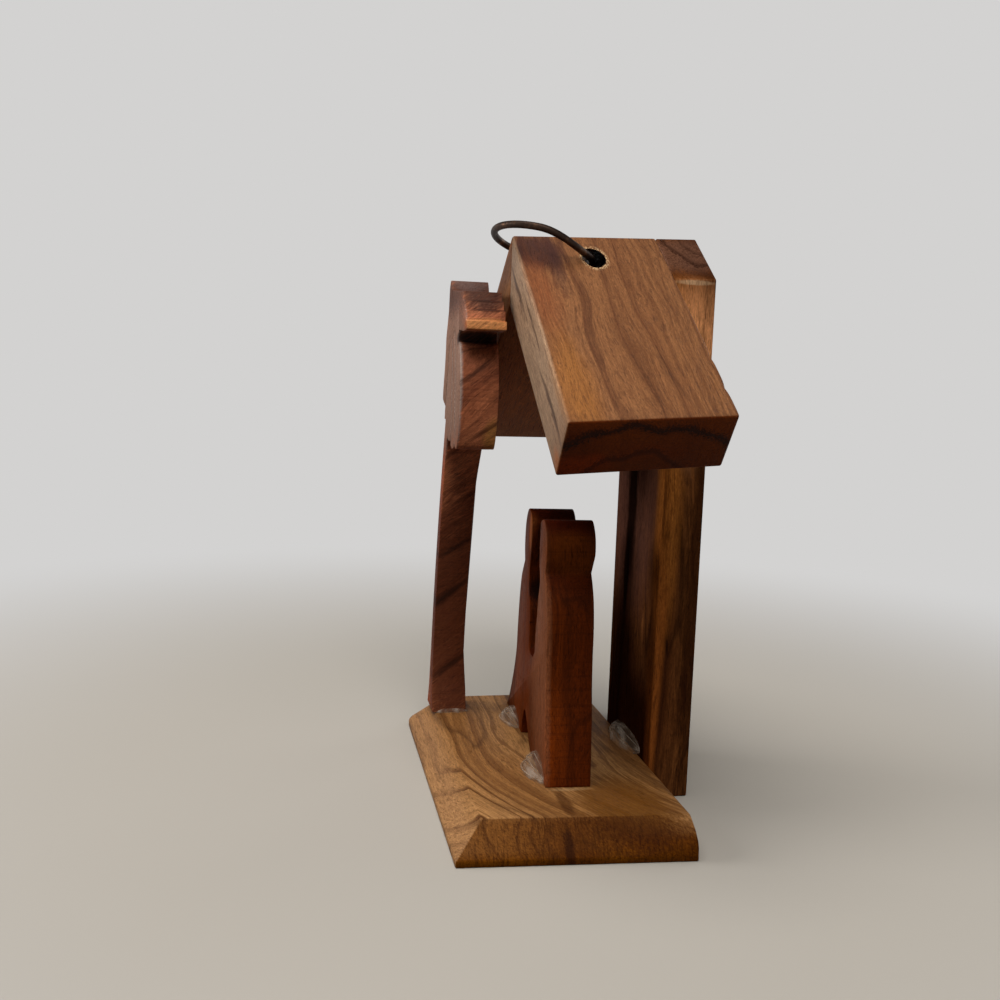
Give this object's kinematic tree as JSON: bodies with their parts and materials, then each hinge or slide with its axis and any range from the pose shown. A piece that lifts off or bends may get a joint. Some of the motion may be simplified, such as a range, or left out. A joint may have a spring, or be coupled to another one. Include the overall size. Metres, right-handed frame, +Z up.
{
  "type": "nativity ornament",
  "caption": "Small olive-wood stable with a palm tree and a faceless holy-family silhouette on a bevelled base, hung by a wire ring that swings in a bore under the roof ridge.",
  "frame": {"origin": "centre of the base's underside, on the table", "axes": "+X along the stable to the right when facing its open front, +Y to the back, +Z up"},
  "size_m": [0.0682, 0.0368, 0.0803],
  "materials": {
    "base_wood": "oiled olive wood, golden tan with dark flowing figure",
    "post_wood": "oiled olive wood, brown with a pale sapwood stripe",
    "roof_wood": "oiled olive wood, warm brown with fine streaks",
    "palm_wood": "oiled olive wood, red brown with slanting dark streaks",
    "figure_wood": "oiled olive wood, dark red brown",
    "ring_wire": "dark oxidised bronze-coloured wire",
    "glue": "set hot glue, cloudy and satin"
  },
  "bodies": {
    "stable": {"base": "base_wood", "back_post": "post_wood", "roof_panel_right": "roof_wood", "roof_panel_left": "roof_wood", "palm_tree": "palm_wood", "holy_family": "figure_wood", "glue_figure_right": "glue", "glue_figure_left": "glue", "glue_post": "glue", "glue_palm": "glue"},
    "ring": {"hanging_ring": "ring_wire"}
  },
  "joints": [
    {"name": "ring_swing", "type": "hinge", "parent": "stable", "child": "ring", "pos_m": [0.001, 0.0049, 0.07615], "axis": [-1, 0, 0], "range_deg": [0, 143]}
  ]
}
